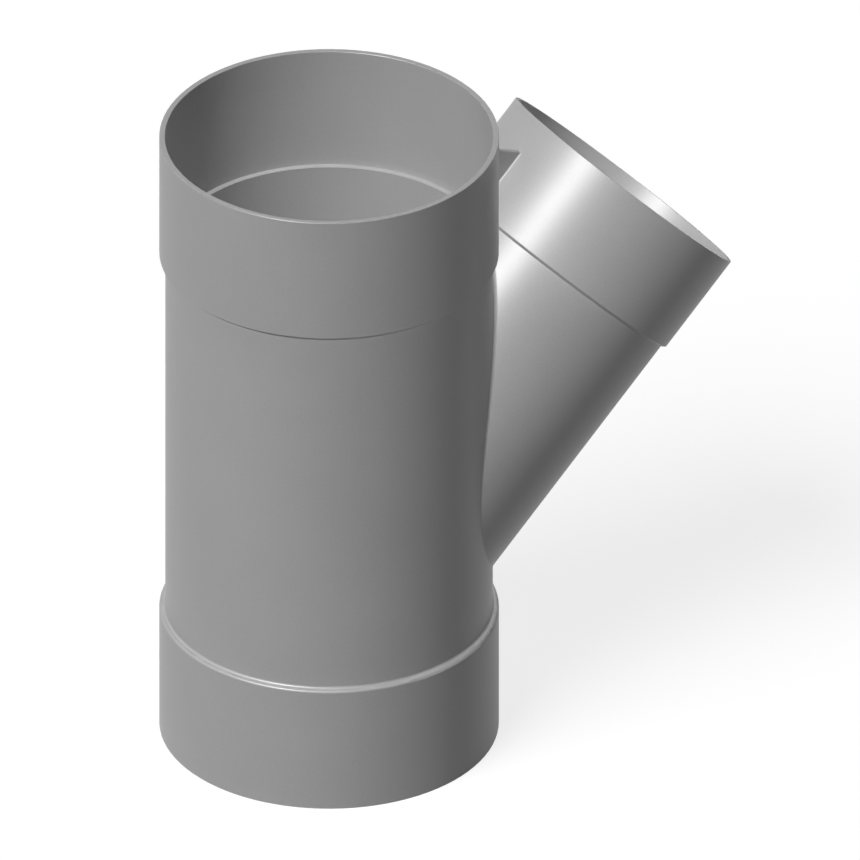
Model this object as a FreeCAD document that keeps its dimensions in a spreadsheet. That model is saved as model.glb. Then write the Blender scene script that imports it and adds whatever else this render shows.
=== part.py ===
import FreeCAD, Part
import math
import os
import Sketcher

# Lateral wye fitting: a straight run of pipe with a smaller branch that leaves it at 45 degrees.
# It is one thin-walled moulding with a pipe socket at each of its three ends.
# Millimetres. Origin at the centre of the lower socket's mouth, +Z up the run, branch towards +X.
# The fitting is symmetric about the XZ plane.

NODE = "wye_body"

# Driving sizes. The run takes pipe of 200 mm outside diameter and the branch pipe of 160 mm.
SIZES = {
    # Run: the pipe's radius, the room round it in its socket, the wall and the two sockets
    "run_pipe_radius": 100.0,
    "run_clearance": 0.2,
    "run_wall": 3.5,
    "run_socket_depth": 80.0,
    "run_shoulder": 3.5,
    # Branch: the same sizes, and its lean from the run
    "branch_angle": 45.0,
    "branch_pipe_radius": 80.0,
    "branch_clearance": 0.1,
    "branch_wall": 2.5,
    "branch_socket_depth": 62.5,
    "branch_shoulder": 2.8,
    # Run pipe left bare below the branch, down to the lower shoulder
    "heel_neck": 15.2,
    # At the crotch above the branch: what is left bare between the seam's fillet and each shoulder
    "crotch_land": 0.4,
    # Gap between the run's upper hub and the nearest corner of the branch's hub
    "hub_gap": 1.2,
    # Web between the two upper hubs: its two equal sides, and how far their corner lies inside the pipes
    "web_side": 59.5,
    "web_depth": 2.0,
    "web_thickness": 3.6,
    # Fillets and rounds: the seam, the corner and root of the lower shoulder, and the web
    "seam_radius": 2.5,
    "low_shoulder_radius": 1.7,
    "web_root_radius": 1.0,
    "web_top_radius": 0.6,
    # Bevels: the corner and root of the upper shoulder, the branch's shoulder along its axis, and the mouths
    "high_shoulder_bevel": 1.7,
    "branch_shoulder_slope": 1.8,
    "rim_bevel": 0.2,
}

# The sine, cosine and tangent of the branch's lean, and the tangent of half of it, for the formulas below
SIN = "sin(dim.branch_angle * 1 deg)"
COS = "cos(dim.branch_angle * 1 deg)"
TAN = "tan(dim.branch_angle * 1 deg)"
TAN_HALF = "tan(dim.branch_angle * 0.5 deg)"

# Lengths that follow from the driving sizes.
# Heights are up the run from its lower mouth, and reaches are along the branch from the run's axis.
FORMULAS = {
    "run_hub_radius": "dim.run_pipe_radius + dim.run_clearance + dim.run_wall",
    "run_socket_radius": "dim.run_pipe_radius + dim.run_clearance",
    "run_bore_radius": "dim.run_pipe_radius - dim.run_wall",
    "branch_hub_radius": "dim.branch_pipe_radius + dim.branch_clearance + dim.branch_wall",
    "branch_socket_radius": "dim.branch_pipe_radius + dim.branch_clearance",
    "branch_bore_radius": "dim.branch_pipe_radius - dim.branch_wall",
    # The branch's underside meets the run one heel neck above the lower shoulder
    "low_shoulder_height": "dim.run_socket_depth + dim.run_shoulder",
    "branch_height": "low_shoulder_height + dim.heel_neck"
                     f" - dim.run_pipe_radius / {TAN} + dim.branch_pipe_radius / {SIN}",
    # Its upper side meets the run at the crotch, where the seam's fillet runs this far along both pipes
    "seam_setback": f"dim.seam_radius / {TAN_HALF}",
    "crotch_height": f"branch_height + dim.run_pipe_radius / {TAN} + dim.branch_pipe_radius / {SIN}",
    "crotch_reach": f"(dim.run_pipe_radius + dim.branch_pipe_radius * {COS}) / {SIN}",
    "high_shoulder_height": "crotch_height + seam_setback + dim.crotch_land + dim.high_shoulder_bevel",
    "high_ledge_height": "high_shoulder_height + dim.run_shoulder",
    "run_length": "high_ledge_height + dim.run_socket_depth",
    # The branch's hub starts where its corner clears the run's upper hub and its shoulder clears the seam
    "hub_clear_reach": f"(run_hub_radius + dim.hub_gap + branch_hub_radius * {COS}) / {SIN}",
    "seam_clear_reach": "crotch_reach + seam_setback + dim.crotch_land + dim.branch_shoulder_slope",
    "branch_shoulder_reach": "max(hub_clear_reach; seam_clear_reach)",
    "branch_slope_reach": "branch_shoulder_reach - dim.branch_shoulder_slope",
    "branch_ledge_reach": "branch_shoulder_reach + dim.branch_shoulder",
    "branch_length": "branch_ledge_reach + dim.branch_socket_depth",
    # The web's sides run up the run and out along the branch from a corner inside both pipes
    "web_corner_out": "dim.run_pipe_radius - dim.web_depth",
    "web_corner_height": f"branch_height + web_corner_out / {TAN}"
                         f" + (dim.branch_pipe_radius - dim.web_depth) / {SIN}",
    "web_run_end_height": "web_corner_height + dim.web_side",
    "web_branch_end_out": f"web_corner_out + dim.web_side * {SIN}",
    "web_branch_end_height": f"web_corner_height + dim.web_side * {COS}",
}

# How near an edge has to be to the place where it is looked for. The curve where two cylinders meet is a
# looser fit, and is tried at this many points.
PLACE_TOLERANCE = 1e-4
SEAM_TOLERANCE = 1e-2
SEAM_PROBES = 5


def add_sheet(doc):
    """The sheet of driving sizes, one plain number to a cell."""
    sheet = doc.addObject("Spreadsheet::Sheet", "dim")
    for row, (name, value) in enumerate(SIZES.items(), start=1):
        sheet.set(f"A{row}", name)
        sheet.set(f"B{row}", str(value))
        sheet.setAlias(f"B{row}", name)
    doc.recompute()


def add_lengths(doc):
    """The lengths that follow from the sheet, each held by its formula."""
    lengths = doc.addObject("App::VarSet", "lengths")
    for name in FORMULAS:
        lengths.addProperty("App::PropertyFloat", name)
    for name, formula in FORMULAS.items():
        lengths.setExpression(name, formula)
    doc.recompute()


def value_of(doc, name):
    """The value now of a driving size, or of a length that follows from them."""
    if name in SIZES:
        return doc.getObject("dim").get(name)
    return getattr(doc.getObject("lengths"), name)


def expression_of(name):
    """The same, as another object's formula names it."""
    return f"dim.{name}" if name in SIZES else f"lengths.{name}"


def symmetry_sketch(body, name):
    """A sketch on the plane of symmetry: across is +X and up is +Z."""
    sketch = body.newObject("Sketcher::SketchObject", name)
    planes = [plane for plane in body.Origin.OriginFeatures if plane.Role == "XZ_Plane"]
    sketch.AttachmentSupport = [(planes[0], "")]
    sketch.MapMode = "FlatFace"
    return sketch


def branch_sketch(body, name):
    """The same, set where the branch's axis meets the run's and leant, so that up is along the branch."""
    sketch = symmetry_sketch(body, name)
    lean = FreeCAD.Rotation(FreeCAD.Vector(0, 0, -1), SIZES["branch_angle"])
    sketch.AttachmentOffset = FreeCAD.Placement(FreeCAD.Vector(0, 0, 0), lean)
    sketch.setExpression("AttachmentOffset.Base.y", "lengths.branch_height")
    sketch.setExpression("AttachmentOffset.Rotation.Angle", "dim.branch_angle")
    return sketch


def draw_outline(sketch, corners):
    """A closed outline of straight sides. A corner is its distances across and up, or None on an axis."""
    doc = sketch.Document
    places = []
    for across, up in corners:
        places.append(FreeCAD.Vector(
            value_of(doc, across) if across else 0.0,
            value_of(doc, up) if up else 0.0,
            0.0,
        ))
    for start, end in zip(places, places[1:] + places[:1]):
        sketch.addGeometry(Part.LineSegment(start, end), False)
    for side in range(len(corners)):
        following = (side + 1) % len(corners)
        sketch.addConstraint(Sketcher.Constraint("Coincident", side, 2, following, 1))
    for side, (across, up) in enumerate(corners):
        hold_corner(sketch, side, "DistanceX", across, places[side].x)
        hold_corner(sketch, side, "DistanceY", up, places[side].y)


def hold_corner(sketch, side, direction, name, value):
    """Holds the start of a side at a named distance from the sketch's origin, or on the axis."""
    if not name:
        axis = -2 if direction == "DistanceX" else -1
        sketch.addConstraint(Sketcher.Constraint("PointOnObject", side, 1, axis))
        return
    index = sketch.addConstraint(Sketcher.Constraint(direction, -1, 1, side, 1, value))
    label = f"{name}_{side}"
    sketch.renameConstraint(index, label)
    sketch.setExpression(f"Constraints.{label}", expression_of(name))


def finish_feature(feature, volume_before, adds):
    """Recomputes a feature and stops if it did not add, or did not take away, material as it should."""
    feature.Document.recompute()
    change = feature.Shape.Volume - volume_before
    if change == 0 or (change > 0) != adds:
        raise RuntimeError(f"{feature.Name} changed the volume by {change}")


def turn_solid(body, name, sketch):
    """Adds the sketch turned a full circle about its up axis."""
    before = body.Shape.Volume if body.Tip else 0.0
    feature = body.newObject("PartDesign::Revolution", name)
    feature.Profile = sketch
    feature.ReferenceAxis = (sketch, ["V_Axis"])
    feature.Angle = 360.0
    sketch.Visibility = False
    finish_feature(feature, before, adds=True)


def turn_hollow(body, name, sketch):
    """Cuts the sketch turned a full circle about its up axis."""
    before = body.Shape.Volume
    feature = body.newObject("PartDesign::Groove", name)
    feature.Profile = sketch
    feature.ReferenceAxis = (sketch, ["V_Axis"])
    feature.Angle = 360.0
    sketch.Visibility = False
    finish_feature(feature, before, adds=False)


def fillet(body, name, edges, radius):
    """Rounds the named edges of the body as it stands, with the radius held by the sheet."""
    if not edges:
        raise RuntimeError(f"{name} found no edge")
    rounded = body.Tip
    feature = body.newObject("PartDesign::Fillet", name)
    feature.Base = (rounded, edges)
    feature.Radius = SIZES[radius]
    feature.setExpression("Radius", expression_of(radius))
    body.Document.recompute()


def bevel(body, name, edges, size):
    """Bevels the named edges of the body as it stands, with the size held by the sheet."""
    if not edges:
        raise RuntimeError(f"{name} found no edge")
    bevelled = body.Tip
    feature = body.newObject("PartDesign::Chamfer", name)
    feature.Base = (bevelled, edges)
    feature.Size = SIZES[size]
    feature.setExpression("Size", expression_of(size))
    body.Document.recompute()


def add_run(body):
    """The run, solid through: a hub at each end, a little wider than the pipe between them."""
    sketch = symmetry_sketch(body, "run_outline")
    draw_outline(sketch, [
        (None, None),
        ("run_hub_radius", None),
        ("run_hub_radius", "low_shoulder_height"),
        ("run_pipe_radius", "low_shoulder_height"),
        ("run_pipe_radius", "high_shoulder_height"),
        ("run_hub_radius", "high_shoulder_height"),
        ("run_hub_radius", "run_length"),
        (None, "run_length"),
    ])
    turn_solid(body, "run", sketch)


def add_branch(body):
    """The branch, solid through, from the run's axis to its mouth, with a hub at the mouth."""
    sketch = branch_sketch(body, "branch_outline")
    draw_outline(sketch, [
        (None, None),
        ("branch_pipe_radius", None),
        ("branch_pipe_radius", "branch_slope_reach"),
        ("branch_hub_radius", "branch_shoulder_reach"),
        ("branch_hub_radius", "branch_length"),
        (None, "branch_length"),
    ])
    turn_solid(body, "branch", sketch)


def add_web(body):
    """The thin three-cornered web, in the plane of symmetry, that ties the two upper hubs."""
    sketch = symmetry_sketch(body, "web_outline")
    draw_outline(sketch, [
        ("web_corner_out", "web_corner_height"),
        ("web_branch_end_out", "web_branch_end_height"),
        ("web_corner_out", "web_run_end_height"),
    ])
    before = body.Shape.Volume
    feature = body.newObject("PartDesign::Pad", "web")
    feature.Profile = sketch
    feature.Midplane = True
    feature.Length = SIZES["web_thickness"]
    feature.setExpression("Length", "dim.web_thickness")
    sketch.Visibility = False
    finish_feature(feature, before, adds=True)


def cut_run_bore(body):
    """Opens the run: a socket in from each end to a stop ledge, and the bore between the ledges."""
    sketch = symmetry_sketch(body, "run_bore_outline")
    draw_outline(sketch, [
        (None, None),
        ("run_socket_radius", None),
        ("run_socket_radius", "run_socket_depth"),
        ("run_bore_radius", "run_socket_depth"),
        ("run_bore_radius", "high_ledge_height"),
        ("run_socket_radius", "high_ledge_height"),
        ("run_socket_radius", "run_length"),
        (None, "run_length"),
    ])
    turn_hollow(body, "run_bore", sketch)


def cut_branch_bore(body):
    """Opens the branch from the run's axis out through its stop ledge and socket."""
    sketch = branch_sketch(body, "branch_bore_outline")
    draw_outline(sketch, [
        (None, None),
        ("branch_bore_radius", None),
        ("branch_bore_radius", "branch_ledge_reach"),
        ("branch_socket_radius", "branch_ledge_reach"),
        ("branch_socket_radius", "branch_length"),
        (None, "branch_length"),
    ])
    turn_hollow(body, "branch_bore", sketch)


def axis_lines(doc):
    """A point on the run's axis and its direction, and the same for the branch."""
    angle = math.radians(SIZES["branch_angle"])
    run = FreeCAD.Vector(0, 0, 0), FreeCAD.Vector(0, 0, 1)
    start = FreeCAD.Vector(0, 0, value_of(doc, "branch_height"))
    branch = start, FreeCAD.Vector(math.sin(angle), 0, math.cos(angle))
    return run, branch


def distance_from(point, line):
    start, direction = line
    return (point - start).cross(direction).Length


def seam_edges(body):
    """The edges where the outside of the run's pipe meets that of the branch's."""
    doc = body.Document
    run, branch = axis_lines(doc)
    names = []
    for number, edge in enumerate(body.Shape.Edges, start=1):
        misses = []
        for point in edge.discretize(SEAM_PROBES):
            misses.append(abs(distance_from(point, run) - SIZES["run_pipe_radius"]))
            misses.append(abs(distance_from(point, branch) - SIZES["branch_pipe_radius"]))
        if max(misses) < SEAM_TOLERANCE:
            names.append(f"Edge{number}")
    return names


def ring_edges(body, line, rings):
    """The circles about an axis, each given by the names of its radius and its distance along the axis."""
    doc = body.Document
    start, direction = line
    names = []
    for number, edge in enumerate(body.Shape.Edges, start=1):
        if not isinstance(edge.Curve, Part.Circle):
            continue
        if distance_from(edge.Curve.Center, line) > PLACE_TOLERANCE:
            continue
        along = (edge.Curve.Center - start).dot(direction)
        for radius, place in rings:
            off_radius = abs(edge.Curve.Radius - value_of(doc, radius))
            off_place = abs(along - (value_of(doc, place) if place else 0.0))
            if max(off_radius, off_place) < PLACE_TOLERANCE:
                names.append(f"Edge{number}")
    return names


def web_edges(body, directions):
    """The straight edges of the web's two faces that run in one of these directions."""
    names = []
    for number, edge in enumerate(body.Shape.Edges, start=1):
        if not isinstance(edge.Curve, Part.Line):
            continue
        off_faces = []
        for vertex in edge.Vertexes:
            off_faces.append(abs(abs(vertex.Point.y) - SIZES["web_thickness"] / 2))
        if max(off_faces) > PLACE_TOLERANCE:
            continue
        strays = [edge.Curve.Direction.cross(direction).Length for direction in directions]
        if min(strays) < PLACE_TOLERANCE:
            names.append(f"Edge{number}")
    return names


def round_web(body):
    """Fillets the web's roots along the two hubs, then rounds its free edge across the top."""
    doc = body.Document
    run, branch = axis_lines(doc)
    fillet(body, "web_root_fillets", web_edges(body, [run[1], branch[1]]), "web_root_radius")
    across = FreeCAD.Vector(
        value_of(doc, "web_branch_end_out") - value_of(doc, "web_corner_out"),
        0.0,
        value_of(doc, "web_branch_end_height") - value_of(doc, "web_run_end_height"),
    )
    fillet(body, "web_top_rounds", web_edges(body, [across.normalize()]), "web_top_radius")


def ease_shoulders(body):
    """Rounds the corner and the root of the run's lower shoulder, and bevels those of its upper one."""
    run, _ = axis_lines(body.Document)
    low = [
        ("run_hub_radius", "low_shoulder_height"),
        ("run_pipe_radius", "low_shoulder_height"),
    ]
    fillet(body, "low_shoulder_rounds", ring_edges(body, run, low), "low_shoulder_radius")
    high = [
        ("run_pipe_radius", "high_shoulder_height"),
        ("run_hub_radius", "high_shoulder_height"),
    ]
    bevel(body, "high_shoulder_bevels", ring_edges(body, run, high), "high_shoulder_bevel")


def bevel_rims(body):
    """Takes the sharpness off the inner and outer edge of each mouth."""
    run, branch = axis_lines(body.Document)
    run_rings = [
        ("run_socket_radius", None),
        ("run_hub_radius", None),
        ("run_socket_radius", "run_length"),
        ("run_hub_radius", "run_length"),
    ]
    branch_rings = [
        ("branch_socket_radius", "branch_length"),
        ("branch_hub_radius", "branch_length"),
    ]
    edges = ring_edges(body, run, run_rings) + ring_edges(body, branch, branch_rings)
    bevel(body, "rim_bevels", edges, "rim_bevel")


def check(doc, body):
    """Stops before anything is written if a feature failed or the fitting isn't one sound solid."""
    for item in doc.Objects:
        if "Invalid" in item.State or "Error" in item.State:
            raise RuntimeError(f"{item.Name} failed: {item.State}")
    if body.Shape.isNull() or not body.Shape.isValid() or len(body.Shape.Solids) != 1:
        raise RuntimeError(f"{body.Label} is not one sound solid")


def main():
    doc = FreeCAD.newDocument("lateral_wye")
    add_sheet(doc)
    add_lengths(doc)
    body = doc.addObject("PartDesign::Body", NODE)
    body.Label = NODE

    # The outside first, solid through
    add_run(body)
    add_branch(body)
    fillet(body, "seam_fillet", seam_edges(body), "seam_radius")
    ease_shoulders(body)
    add_web(body)
    round_web(body)

    # Then the hollow, which also trims what reaches into it. The two bores meet in a plain edge.
    cut_run_bore(body)
    cut_branch_bore(body)
    bevel_rims(body)

    doc.recompute()
    check(doc, body)
    os.makedirs("parts", exist_ok=True)
    body.Shape.exportStep(f"parts/{NODE}.step")


main()
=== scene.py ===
import math

import bpy
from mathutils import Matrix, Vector

# Lateral wye fitting: one plastic moulding, standing on its lower hub.
# Metres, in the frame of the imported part: +Z up the run, branch towards +X.

# The picture's view: parallel, so that the run's sides stay upright, and this far round and above
VIEW_AZIMUTH = math.radians(-30.9)
VIEW_ELEVATION = math.radians(30.96)
VIEW_WIDTH = 0.52494
VIEW_CENTRE = Vector((0.0718, 0.0, 0.1854))
VIEW_DISTANCE = 3.0

# Soft suns, each for one object alone. The key sun gives the fitting its bright left side. The gloss sun
# comes from the same place, and is seen only as a highlight, which is long on the branch. Neither casts a
# shadow, so the run doesn't darken the branch.
KEY_FROM = Vector((-0.61, -0.20, 0.77))
KEY_SPREAD = math.radians(10.0)
KEY_STRENGTH = 2.9
GLOSS_STRENGTH = 14.6
# The back sun shines from straight across the camera, on the sides that the picture doesn't show
BACK_STRENGTH = 1.8
BACK_SPREAD = math.radians(25.0)
# The floor's sun comes from the key's place, and gives the floor the fitting's shadow
FLOOR_SUN_STRENGTH = 3.0
FLOOR_SUN_SPREAD = math.radians(32.0)

# Light from all round, and the white that the view and the reflections see
WHITE = (1.0, 1.0, 1.0, 1.0)
WHITE_LEVEL = 1.0
SKY_LEVEL = 0.09

# The floor reflects little of the light, and is brought up to white where it is looked at
FLOOR_SIDE = 12.0
FLOOR_GREY = 0.25
FLOOR_LIFT = 0.80

# Plastic: its grey, and how far that drifts either way over broad patches and in fine specks
PLASTIC_GREY = 0.38
PATCH_SIZE = 0.07
PATCH_DETAIL = 2.0
PATCH_DRIFT = 0.012
SPECK_SIZE = 0.0007
SPECK_DETAIL = 1.0
SPECK_DRIFT = 0.02
# Its gloss, and the skin's faint unevenness
PLASTIC_IOR = 1.37
PLASTIC_ROUGHNESS = 0.44
ROUGHNESS_DRIFT = 0.03
SKIN_SIZE = 0.0022
SKIN_DETAIL = 1.0
SKIN_HEIGHT = 0.00001
# Nearly all of the noise lies between these two values
NOISE_LOW = 0.25
NOISE_HIGH = 0.75


def new_material(name):
    """An empty node material, with its nodes, its links and its output."""
    material = bpy.data.materials.new(name)
    material.use_nodes = True
    nodes = material.node_tree.nodes
    nodes.clear()
    return material, nodes, material.node_tree.links, nodes.new("ShaderNodeOutputMaterial")


def noise(nodes, links, place, size, detail):
    """Noise whose features are about this big, in metres."""
    node = nodes.new("ShaderNodeTexNoise")
    node.inputs["Scale"].default_value = 1.0 / size
    node.inputs["Detail"].default_value = detail
    links.new(place, node.inputs["Vector"])
    return node.outputs["Fac"]


def drift(nodes, links, value, middle, spread):
    """A noise value turned into a number that strays about this far either way from its middle."""
    node = nodes.new("ShaderNodeMapRange")
    node.clamp = False
    node.inputs["From Min"].default_value = NOISE_LOW
    node.inputs["From Max"].default_value = NOISE_HIGH
    node.inputs["To Min"].default_value = middle - spread
    node.inputs["To Max"].default_value = middle + spread
    links.new(value, node.inputs["Value"])
    return node.outputs["Result"]


def added(nodes, links, first, second):
    """The sum of two values."""
    node = nodes.new("ShaderNodeMath")
    node.operation = "ADD"
    links.new(first, node.inputs[0])
    links.new(second, node.inputs[1])
    return node.outputs["Value"]


def moulded_plastic():
    """Grey moulded plastic with a satin skin: faint patches and specks, and a slight unevenness."""
    material, nodes, links, output = new_material("moulded_plastic_look")
    shader = nodes.new("ShaderNodeBsdfPrincipled")
    shader.inputs["IOR"].default_value = PLASTIC_IOR
    place = nodes.new("ShaderNodeTexCoord").outputs["Object"]

    patches = noise(nodes, links, place, PATCH_SIZE, PATCH_DETAIL)
    specks = noise(nodes, links, place, SPECK_SIZE, SPECK_DETAIL)
    grey = added(
        nodes, links,
        drift(nodes, links, patches, PLASTIC_GREY, PATCH_DRIFT),
        drift(nodes, links, specks, 0.0, SPECK_DRIFT),
    )
    links.new(grey, shader.inputs["Base Color"])
    roughness = drift(nodes, links, patches, PLASTIC_ROUGHNESS, ROUGHNESS_DRIFT)
    links.new(roughness, shader.inputs["Roughness"])

    skin = nodes.new("ShaderNodeBump")
    skin.inputs["Distance"].default_value = SKIN_HEIGHT
    links.new(noise(nodes, links, place, SKIN_SIZE, SKIN_DETAIL), skin.inputs["Height"])
    links.new(skin.outputs["Normal"], shader.inputs["Normal"])
    links.new(shader.outputs["BSDF"], output.inputs["Surface"])
    return material


def dress(fitting):
    """Gives every slot of the fitting the plastic's look."""
    material = moulded_plastic()
    for slot in fitting.material_slots:
        slot.material = material


def towards_camera():
    """The direction from the fitting to the camera."""
    return Vector((
        math.sin(VIEW_AZIMUTH) * math.cos(VIEW_ELEVATION),
        -math.cos(VIEW_AZIMUTH) * math.cos(VIEW_ELEVATION),
        math.sin(VIEW_ELEVATION),
    ))


def make_camera():
    """A parallel view from the picture's side and height."""
    data = bpy.data.cameras.new("camera")
    data.type = "ORTHO"
    data.ortho_scale = VIEW_WIDTH
    camera = bpy.data.objects.new("camera", data)
    camera.location = VIEW_CENTRE + towards_camera() * VIEW_DISTANCE
    camera.rotation_mode = "QUATERNION"
    camera.rotation_quaternion = (-towards_camera()).to_track_quat("-Z", "Y")
    bpy.context.scene.collection.objects.link(camera)
    bpy.context.scene.camera = camera


def seen_directly(nodes, links):
    """1 for the rays of the view, and for those that gloss or glass sends on, and 0 for the rest."""
    path = nodes.new("ShaderNodeLightPath")
    seen = path.outputs["Is Camera Ray"]
    for other in ("Is Glossy Ray", "Is Transmission Ray"):
        seen = added(nodes, links, seen, path.outputs[other])
    seen.node.use_clamp = True
    return seen


def floor_white():
    """Matt grey, with a glow of its own that only the view and the reflections see."""
    material, nodes, links, output = new_material("floor_white")
    matt = nodes.new("ShaderNodeBsdfDiffuse")
    matt.inputs["Color"].default_value = (FLOOR_GREY, FLOOR_GREY, FLOOR_GREY, 1.0)
    lift = nodes.new("ShaderNodeEmission")
    level = nodes.new("ShaderNodeMath")
    level.operation = "MULTIPLY"
    level.inputs[1].default_value = FLOOR_LIFT
    links.new(seen_directly(nodes, links), level.inputs[0])
    links.new(level.outputs["Value"], lift.inputs["Strength"])
    both = nodes.new("ShaderNodeAddShader")
    links.new(matt.outputs["BSDF"], both.inputs[0])
    links.new(lift.outputs["Emission"], both.inputs[1])
    links.new(both.outputs["Shader"], output.inputs["Surface"])
    return material


def make_floor():
    """A white floor that keeps the fitting's shadow."""
    bpy.ops.mesh.primitive_plane_add(size=FLOOR_SIDE, location=(0.0, 0.0, 0.0))
    floor = bpy.context.object
    floor.name = "floor"
    floor.data.materials.append(floor_white())
    return floor


def make_sky():
    """Even light from all round, which the view and the reflections see as white."""
    world = bpy.data.worlds.new("sky")
    world.use_nodes = True
    bpy.context.scene.world = world
    nodes = world.node_tree.nodes
    links = world.node_tree.links
    sky = nodes["Background"]
    sky.inputs["Color"].default_value = WHITE
    level = nodes.new("ShaderNodeMapRange")
    level.inputs["To Min"].default_value = SKY_LEVEL
    level.inputs["To Max"].default_value = WHITE_LEVEL
    links.new(seen_directly(nodes, links), level.inputs["Value"])
    links.new(level.outputs["Result"], sky.inputs["Strength"])


def make_sun(name, shines_from, strength, spread, lit):
    """A soft sun that lights only the object given."""
    lamp = bpy.data.lights.new(name, "SUN")
    lamp.energy = strength
    lamp.angle = spread
    sun = bpy.data.objects.new(name, lamp)
    sun.rotation_mode = "QUATERNION"
    sun.rotation_quaternion = (-shines_from).to_track_quat("-Z", "Y")
    bpy.context.scene.collection.objects.link(sun)
    receivers = bpy.data.collections.new(name + "_lit")
    receivers.objects.link(lit)
    sun.light_linking.receiver_collection = receivers
    return sun


def make_key(fitting):
    """The light on the fitting: an even part without highlight, and a highlight without the rest."""
    key = make_sun("key", KEY_FROM, KEY_STRENGTH, KEY_SPREAD, fitting)
    gloss = make_sun("gloss", KEY_FROM, GLOSS_STRENGTH, KEY_SPREAD, fitting)
    key.visible_glossy = False
    gloss.visible_diffuse = False
    for sun in (key, gloss):
        sun.data.use_shadow = False


def make_back(fitting):
    """Even light on the sides that the camera doesn't see."""
    back = make_sun("back", -towards_camera(), BACK_STRENGTH, BACK_SPREAD, fitting)
    back.visible_glossy = False
    back.data.use_shadow = False


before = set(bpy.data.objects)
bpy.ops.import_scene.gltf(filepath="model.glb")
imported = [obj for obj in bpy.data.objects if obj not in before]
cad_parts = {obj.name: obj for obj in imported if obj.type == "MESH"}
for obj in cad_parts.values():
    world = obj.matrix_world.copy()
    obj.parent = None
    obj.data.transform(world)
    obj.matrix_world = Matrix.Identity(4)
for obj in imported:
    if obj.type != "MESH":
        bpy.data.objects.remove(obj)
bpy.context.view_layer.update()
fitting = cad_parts["wye_body"]
dress(fitting)
make_camera()
floor = make_floor()
make_sky()
make_key(fitting)
make_back(fitting)
make_sun("floor_key", KEY_FROM, FLOOR_SUN_STRENGTH, FLOOR_SUN_SPREAD, floor)
bpy.context.scene.view_settings.view_transform = "Standard"
